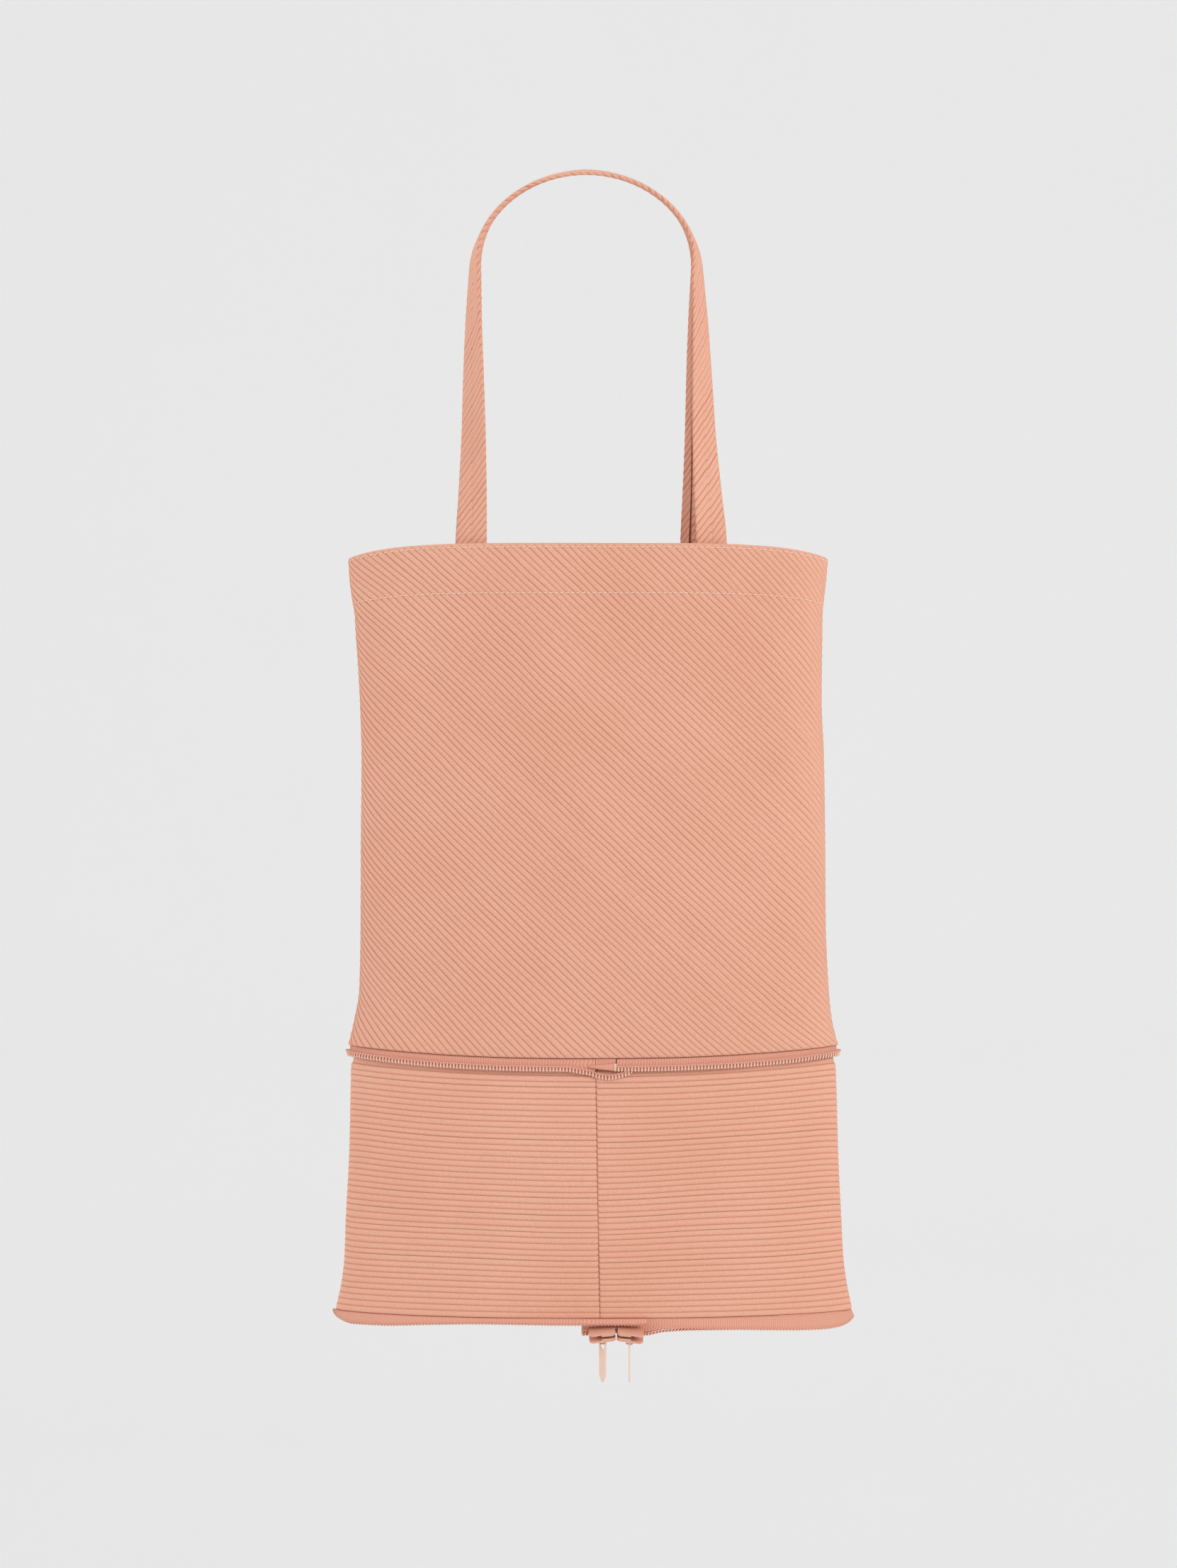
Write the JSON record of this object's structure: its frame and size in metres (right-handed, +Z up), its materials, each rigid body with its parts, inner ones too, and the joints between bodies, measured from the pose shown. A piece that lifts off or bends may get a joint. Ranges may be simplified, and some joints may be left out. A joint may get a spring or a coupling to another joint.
{
  "type": "expandable tote bag",
  "caption": "Pleated cloth tote bag hanging from twin strap handles, with a zip-away pleated extension let down below an open coil zip.",
  "frame": {"origin": "underside of the ridge where the two handles meet at the top of their loop, where a hook or a hand holds the bag", "axes": "+Z up, +X to the right seen from the front, and the front, with the zip's ends and sliders, faces -Y"},
  "size_m": [0.3135, 0.0773, 0.7315],
  "materials": {
    "pleated_cloth": "finely pleated, soft sheen",
    "zip_tape": "woven tape",
    "zip_coil": "nylon coil",
    "slider_enamel": "glossy enamel",
    "pull_enamel": "glossy enamel"
  },
  "bodies": {
    "bag": {"upper_body": "pleated_cloth", "extension": "pleated_cloth", "bottom_panel": "pleated_cloth", "handle_front": "pleated_cloth", "handle_back": "pleated_cloth", "upper_zip_tape": "zip_tape", "upper_zip_coil": "zip_coil", "zip_end_tab": "zip_tape", "lower_zip_tape": "zip_tape", "lower_zip_coil": "zip_coil", "slider_left": "slider_enamel", "slider_right": "slider_enamel"},
    "left_tab": {"pull_left": "pull_enamel"},
    "right_tab": {"pull_right": "pull_enamel"}
  },
  "joints": [
    {"name": "left_tab_swing", "type": "hinge", "parent": "bag", "child": "left_tab", "pos_m": [0.00853, -0.03301, -0.70492], "axis": [-0.6157, 0.788, 0], "range_deg": [-15, 75]},
    {"name": "right_tab_swing", "type": "hinge", "parent": "bag", "child": "right_tab", "pos_m": [0.02457, -0.03281, -0.7051], "axis": [0, -1, 0], "range_deg": [-15, 75]}
  ]
}
